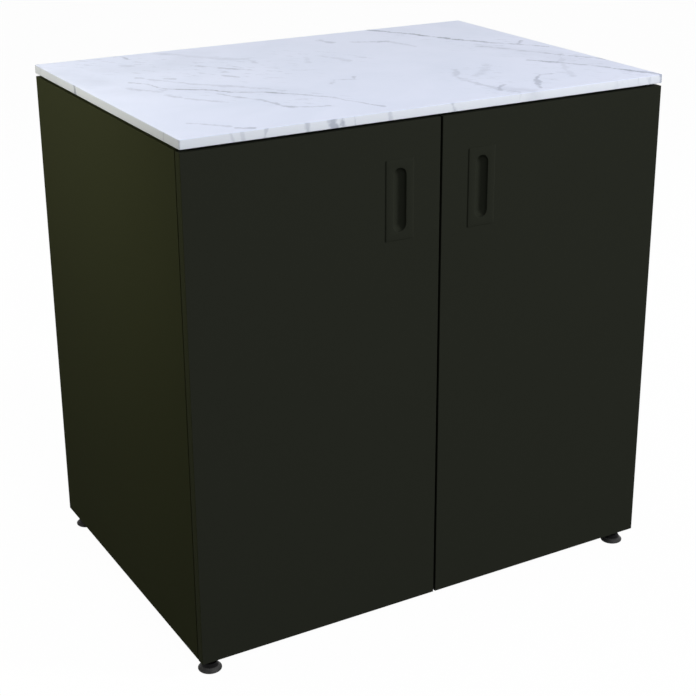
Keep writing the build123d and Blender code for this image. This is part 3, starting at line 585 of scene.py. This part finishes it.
# Levelling feet: a moulded cone of a pad and a threaded stem with a hexagon to turn it by. The pad's
# side draws in with the power of the height that "hollow" gives, from a round rim to a round shoulder.
# Inside it lie a dish, a collar and the bore.
footLook = {
    "padRadius": 0.020, "padHeight": 0.014, "rimRound": 0.0008, "rimHeight": 0.0026, "roundSteps": 5,
    "coneTopRadius": 0.0122, "shoulder": 0.0009, "hollow": 0.75, "sideSteps": 14,
    "dishDepth": 0.0010, "collarRadius": 0.0066, "collarBevel": 0.0003, "collarDrop": 0.0002,
    "boreRadius": 0.004, "boreBevel": 0.0004, "boreFloor": 0.0045, "padColumns": 64,
    "stemRadius": 0.00395, "threadDepth": 0.0006, "pitch": 0.00125, "flank": 1.25, "crest": 0.1,
    "rowsPerTurn": 6, "stemColumns": 24,
    "hexAcross": 0.013, "hexHeight": 0.006, "hexGap": 0.0003, "hexBevel": 0.0001, "hexSlope": 1.2,
    "hexSteps": 12, "hexColumns": 72,
}


def makeFootPad(foot):
    look = footLook
    low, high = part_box(foot + "_foot_pad")
    inward, rise = quarterArc(look["roundSteps"])
    outer, rim, rimTop = look["padRadius"], look["rimRound"], look["rimHeight"]
    cone, shoulder, top = look["coneTopRadius"], look["shoulder"], look["padHeight"]
    collar, bore, dish = look["collarRadius"], look["boreRadius"], look["padHeight"] - look["dishDepth"]
    profile = [(outer - 2 * rim, 0.0)]
    profile += [(outer - rim * (1 - b), rim * a) for a, b in zip(inward, rise)]
    profile += [(outer - rim * a, rimTop - rim * (1 - b)) for a, b in zip(inward, rise)]
    start = outer - rim
    for t in np.linspace(0, 1, look["sideSteps"])[1:]:
        profile.append((start + (cone - start) * t ** look["hollow"], rimTop + (top - shoulder - rimTop) * t))
    profile += [(cone - shoulder * a, top - shoulder * (1 - b)) for a, b in zip(inward[1:], rise[1:])]
    profile += [
        (cone - 2 * shoulder, top), (cone - 3 * shoulder, dish), (collar + shoulder, dish),
        (collar, top - look["collarDrop"]), (collar - look["collarBevel"], top),
        (bore + look["boreBevel"], top), (bore, top - look["boreBevel"]), (bore, look["boreFloor"]),
    ]
    grid = turned(profile, (low + high) / 2, look["padColumns"])
    surfaceObject(foot + "Pad", [grid], footNylon, foot + "_pad", [foot + "_foot_pad"], 30)


# The thread's radius falls from crest to root and back once in every pitch of height, and the whole
# wave climbs one pitch in each turn; "flank" is the slope of the fall and "crest" what stays flat. The
# hexagon's radius is its half width over the cosine of the angle from the nearest flat, cut by a cone at
# both ends.
def makeFootStem(foot):
    look = footLook
    low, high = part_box(foot + "_foot_stem")
    centre = (low + high) / 2
    columns = look["stemColumns"]
    angles = np.arange(columns) / columns * 2 * math.pi
    rows = int((high.z - low.z) / look["pitch"] * look["rowsPerTurn"])
    heights = np.linspace(low.z, high.z, rows)
    phase = (heights[:, None] / look["pitch"] - angles[None, :] / (2 * math.pi)) % 1.0
    wave = np.abs(2 * phase - 1)
    radius = look["stemRadius"] - look["threadDepth"] * np.clip(look["flank"] * wave - look["crest"], 0, 1)
    ends = np.minimum(heights - low.z, high.z - heights) / look["pitch"]
    radius -= look["threadDepth"] * np.clip(1 - ends, 0, 1)[:, None]
    stem = np.stack([
        centre.x + radius * np.cos(angles), centre.y + radius * np.sin(angles),
        np.repeat(heights[:, None], columns, axis=1)], axis=-1)
    hexAngles = (np.arange(look["hexColumns"]) + 0.5) / look["hexColumns"] * 2 * math.pi
    fromFlat = (hexAngles + math.pi / 6) % (math.pi / 3) - math.pi / 6
    flat = look["hexAcross"] / 2 / np.cos(fromFlat)
    bottom = look["padHeight"] + look["hexGap"]
    top = bottom + look["hexHeight"]
    hexHeights = bottom + look["hexHeight"] * (1 - np.cos(np.linspace(0, math.pi, look["hexSteps"]))) / 2
    reach = np.minimum(hexHeights - bottom, top - hexHeights)
    limit = look["hexAcross"] / 2 + look["hexBevel"] + look["hexSlope"] * reach
    hexRadius = np.minimum(flat[None, :], limit[:, None])
    hexagon = np.stack([
        centre.x + hexRadius * np.cos(hexAngles), centre.y + hexRadius * np.sin(hexAngles),
        np.repeat(hexHeights[:, None], look["hexColumns"], axis=1)], axis=-1)
    surfaceObject(
        foot + "Stem", [stem, hexagon], zincSteel, foot + "_stem", [foot + "_foot_stem"],
        35)


for foot in feet:
    makeFootPad(foot)
    makeFootStem(foot)
print("feet made")


# The boxes of the separate solids of a node, found by gathering the points within "reach" of a first one
def solidBoxes(node, reach=0.013):
    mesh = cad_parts[node].data
    points = np.empty(len(mesh.vertices) * 3)
    mesh.vertices.foreach_get("co", points)
    points = points.reshape(-1, 3)
    boxes = []
    while len(points):
        near = np.abs(points - points[0]).max(axis=1) < reach
        boxes.append((points[near].min(axis=0), points[near].max(axis=0)))
        points = points[~near]
    return boxes


# Rubber pads under the slab: rounded squares whose sides bulge with the sine of the height and draw in at
# both ends. "reach" is wider than a pad and narrower than the way to the next one.
padLook = {"corner": 0.004, "bulge": 0.0005, "edge": 0.0006, "rows": 9, "reach": 0.04}


def makeSlabPads():
    look = padLook
    grids = []
    t = np.linspace(0, 1, look["rows"])
    insets = look["bulge"] * (1 - np.sin(math.pi * t))
    insets[[0, -1]] += look["edge"]
    for low, high in solidBoxes("slab_pads", look["reach"]):
        centre, half = (low + high) / 2, (high - low) / 2
        rows = [
            (half[0] - inset, half[1] - inset, look["corner"] - inset, low[2] + (high[2] - low[2]) * step)
            for inset, step in zip(insets, t)
        ]
        grid = outlineRows(rows)
        grid[..., :2] += centre[:2]
        grids.append(grid)
    surfaceObject("slabPads", grids, blackRubber, "cabinet", ["slab_pads"])


# A profile turned round a level axis: the seat, plus the distance outwards, plus the radius by the cosine
# of the angle sideways and by its sine upwards. The radius has a value for each row and angle.
def turnedAlong(radius, distance, seat, outward):
    outward = np.array(outward, float)
    upward = np.array((0.0, 0.0, 1.0))
    sideways = np.cross(upward, outward)
    columns = radius.shape[1]
    angles = np.arange(columns) / columns * 2 * math.pi
    around = np.cos(angles)[:, None] * sideways + np.sin(angles)[:, None] * upward
    return np.array(seat) + radius[..., None] * around[None] + distance[:, None, None] * outward


# A pan head with a hexagon recess: the dome is a quarter ellipse round a flat, the recess a hexagon ring
# that goes almost straight down to a flat floor. All are shares of the head's radius or height.
screwLook = {
    "crown": 0.45, "flat": 0.62, "recess": 0.42, "recessTaper": 0.97, "recessFloor": 0.35,
    "domeSteps": 7, "columns": 36,
}


# Screws along x have their heads on the side of the cabinet's middle
def makeScrews(node, outward, headRadius, headHeight, shankRadius, body):
    look = screwLook
    grids = []
    axis = int(np.argmax(np.abs(outward)))
    angles = np.arange(look["columns"]) / look["columns"] * 2 * math.pi
    fromFlat = (angles + math.pi / 6) % (math.pi / 3) - math.pi / 6
    recess = headRadius * look["recess"] / np.cos(fromFlat)
    ring = np.ones(look["columns"])
    arc = np.linspace(0, math.pi / 2, look["domeSteps"])
    crown = look["crown"] * headHeight
    domeRadius = headRadius * (look["flat"] + (1 - look["flat"]) * np.cos(arc))
    domeHeight = headHeight - crown + crown * np.sin(arc)
    radii = [shankRadius * ring, shankRadius * ring, headRadius * ring]
    radii += [r * ring for r in domeRadius] + [recess, recess * look["recessTaper"]]
    for low, high in solidBoxes(node):
        middle = (low + high) / 2
        way = np.array(outward, float) * (-np.sign(middle[0]) if axis == 0 else 1)
        length = high[axis] - low[axis] - headHeight
        seat = middle.copy()
        seat[axis] = (high[axis] - headHeight) if way[axis] > 0 else (low[axis] + headHeight)
        distances = [-length, 0, 0] + domeHeight.tolist() + [headHeight, headHeight * look["recessFloor"]]
        grids.append(turnedAlong(np.array(radii), np.array(distances), seat, way))
    surfaceObject(node + "Turned", grids, screwSteel, body, [node], 30)


# Self-adhesive bumpers behind the doors: a short foot, then a dome whose radius falls with the cosine of
# an angle while its height grows with the sine, up to the share domeEnd of a right angle
bumperLook = {"footHeight": 0.0005, "columns": 32, "steps": 9, "domeEnd": 0.97}


def makeBumpers():
    look = bumperLook
    grids = []
    arc = np.linspace(0, math.pi / 2 * look["domeEnd"], look["steps"])
    for low, high in solidBoxes("door_bumpers"):
        seat = np.array(((low[0] + high[0]) / 2, high[1], (low[2] + high[2]) / 2))
        radius, height = (high[0] - low[0]) / 2, high[1] - low[1]
        radii = np.concatenate([[radius], radius * np.cos(arc)])
        distances = np.concatenate([[0], look["footHeight"] + (height - look["footHeight"]) * np.sin(arc)])
        radii = np.repeat(radii[:, None], look["columns"], axis=1)
        grids.append(turnedAlong(radii, distances, seat, (0, -1, 0)))
    surfaceObject("doorBumpers", grids, blackRubber, "cabinet", ["door_bumpers"])


makeSlabPads()
makeBumpers()
print("rubber pads made")

hexHead = {"headRadius": 0.0046, "headHeight": 0.0024, "shankRadius": 0.0024}
flatHead = {"headRadius": 0.0036, "headHeight": 0.0010, "shankRadius": 0.0018}
makeScrews("floor_screws", (1, 0, 0), **hexHead, body="cabinet")
makeScrews("rail_screws", (1, 0, 0), **hexHead, body="cabinet")
makeScrews("back_panel_screws", (0, 1, 0), **flatHead, body="cabinet")
for side in sides:
    makeScrews(side + "_hinge_plate_screws", (1, 0, 0), **hexHead, body="cabinet")
    makeScrews(side + "_hinge_housing_screws", (0, 1, 0), **flatHead, body=side + "_door")
    makeScrews(side + "_pull_screws", (0, 1, 0), **flatHead, body=side + "_door")
print("screws made")

# Materials of the nodes that keep their shape
nodeMaterials = {
    "floor_panel": insideCoat, "front_top_rail": insideCoat, "rear_top_rail": insideCoat,
    "back_panel": insideCoat, "shelf": insideCoat, "foot_brackets": insideCoat,
    "left_side_outer_skin": bodyCoat, "right_side_outer_skin": bodyCoat,
    "left_side_liner": insideCoat, "right_side_liner": insideCoat,
    "shelf_pins": nickelSteel, "foot_sockets": zincSteel,
}
for side in sides:
    nodeMaterials[side + "_door_outer_pan"] = doorCoat
    nodeMaterials[side + "_door_inner_pan"] = doorCoat
    for piece in ("housings", "pins", "arms", "plates"):
        nodeMaterials[side + "_hinge_" + piece] = nickelSteel
for node, material in nodeMaterials.items():
    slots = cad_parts[node].data.materials
    slots.clear()
    slots.append(material)
print("node materials:", len(nodeMaterials))

# Stage: a white floor that keeps a faint shadow, a white surround and soft lamps. floorColour is what the
# floor throws back at the part, cameraWhite the share of plain white in the floor that the camera sees,
# and ambient the strength of the surround's light.
stageLook = {"floorSize": 60.0, "floorColour": "#707070", "cameraWhite": 0.98, "ambient": 0.03}


# 1 for the rays of the camera, of mirrors and of glass, 0 for the light that falls on the part
def seenDirectly(tree):
    path = addNode(tree, "ShaderNodeLightPath").outputs
    either = addNode(tree, "ShaderNodeMath", {"operation": "MAXIMUM"}, {
        0: path["Is Camera Ray"], 1: path["Is Glossy Ray"]})
    return addNode(tree, "ShaderNodeMath", {"operation": "MAXIMUM"}, {
        0: either.outputs[0], 1: path["Is Transmission Ray"]}).outputs[0]


def makeStage():
    half = stageLook["floorSize"] / 2
    mesh = bpy.data.meshes.new("stageFloor")
    corners = [(-half, -half, 0), (half, -half, 0), (half, half, 0), (-half, half, 0)]
    mesh.from_pydata(corners, [], [(0, 1, 2, 3)])
    floor = bpy.data.objects.new("stageFloor", mesh)
    bpy.context.scene.collection.objects.link(floor)
    material = bpy.data.materials.new("stagePaper")
    material.use_nodes = True
    tree = material.node_tree
    tree.nodes.clear()
    direct = seenDirectly(tree)
    shade = addNode(tree, "ShaderNodeMix", {"data_type": "RGBA"}, {
        "Factor": direct, "A": toLinear(stageLook["floorColour"]), "B": (1, 1, 1, 1)})
    paper = addNode(tree, "ShaderNodeBsdfDiffuse", inputs={"Color": shade.outputs["Result"]})
    white = addNode(tree, "ShaderNodeEmission", inputs={"Strength": 1.0})
    share = addNode(tree, "ShaderNodeMath", {"operation": "MULTIPLY"}, {
        0: direct, 1: stageLook["cameraWhite"]})
    mixed = addNode(tree, "ShaderNodeMixShader", inputs={
        0: share.outputs[0], 1: paper.outputs[0], 2: white.outputs[0]})
    addNode(tree, "ShaderNodeOutputMaterial", inputs={"Surface": mixed.outputs[0]})
    mesh.materials.append(material)
    world = bpy.data.worlds.new("studio")
    bpy.context.scene.world = world
    world.use_nodes = True
    tree = world.node_tree
    tree.nodes.clear()
    strength = addNode(tree, "ShaderNodeMapRange", inputs={
        "Value": seenDirectly(tree), "To Min": stageLook["ambient"], "To Max": 1.0})
    sky = addNode(tree, "ShaderNodeBackground", inputs={
        "Color": (1, 1, 1, 1), "Strength": strength.outputs[0]})
    addNode(tree, "ShaderNodeOutputWorld", inputs={"Surface": sky.outputs[0]})


lamps = {
    "leftSoftbox": {"place": (-1.2, 0.15, 1.25), "aim": (-0.45, 0.0, 0.6), "size": 0.5, "power": 5.4,
                    "colour": "#fffced"},
    "keySoftbox": {"place": (5.7, -5.0, 4.0), "aim": (0.0, -0.3, 0.6), "size": 1.6, "power": 520,
                   "colour": "#fcfcff"},
    "frontSoftbox": {"place": (-0.3, -3.0, 2.3), "aim": (0.0, -0.3, 0.6), "size": 1.0, "power": 40,
                     "colour": "#fbfcff"},
    "topSoftbox": {"place": (-0.7, 0.5, 2.8), "aim": (-0.1, 0.0, 0.9), "size": 1.4, "power": 8.5,
                   "colour": "#fbfcff"},
    "rightSoftbox": {"place": (2.6, 0.5, 1.9), "aim": (0.45, 0.0, 0.6), "size": 1.0, "power": 15,
                     "colour": "#ffffff"},
    "backSoftbox": {"place": (-0.5, 3.0, 2.2), "aim": (0.0, 0.3, 0.6), "size": 1.0, "power": 30,
                    "colour": "#ffffff"},
}


def makeLamps():
    for name, look in lamps.items():
        light = bpy.data.lights.new(name, "AREA")
        light.shape = "SQUARE"
        light.size = look["size"]
        light.energy = look["power"]
        light.color = toLinear(look["colour"])[:3]
        lamp = bpy.data.objects.new(name, light)
        bpy.context.scene.collection.objects.link(lamp)
        lamp.location = look["place"]
        way = Vector(look["aim"]) - Vector(look["place"])
        lamp.rotation_euler = way.to_track_quat("-Z", "Y").to_euler()
        lamp.visible_camera = False
        lamp.visible_glossy = False


# Camera of the photograph: lens and place from the perspective of the slab and body corners
cameraLook = {
    "place": (-1.2713, -2.2471, 1.434), "turn": (69.636, 0.054, -30.437), "lens": 77.28,
    "shiftX": -0.0281, "shiftY": -0.0654,
}


def makeCamera():
    data = bpy.data.cameras.new("camera")
    data.lens = cameraLook["lens"]
    data.sensor_width = 36.0
    data.shift_x = cameraLook["shiftX"]
    data.shift_y = cameraLook["shiftY"]
    data.clip_end = 200.0
    camera = bpy.data.objects.new("camera", data)
    camera.location = cameraLook["place"]
    camera.rotation_euler = [math.radians(angle) for angle in cameraLook["turn"]]
    bpy.context.scene.collection.objects.link(camera)
    bpy.context.scene.camera = camera


makeStage()
makeLamps()
makeCamera()
bpy.context.scene.view_settings.view_transform = "Standard"
print("stage, lamps and camera made")
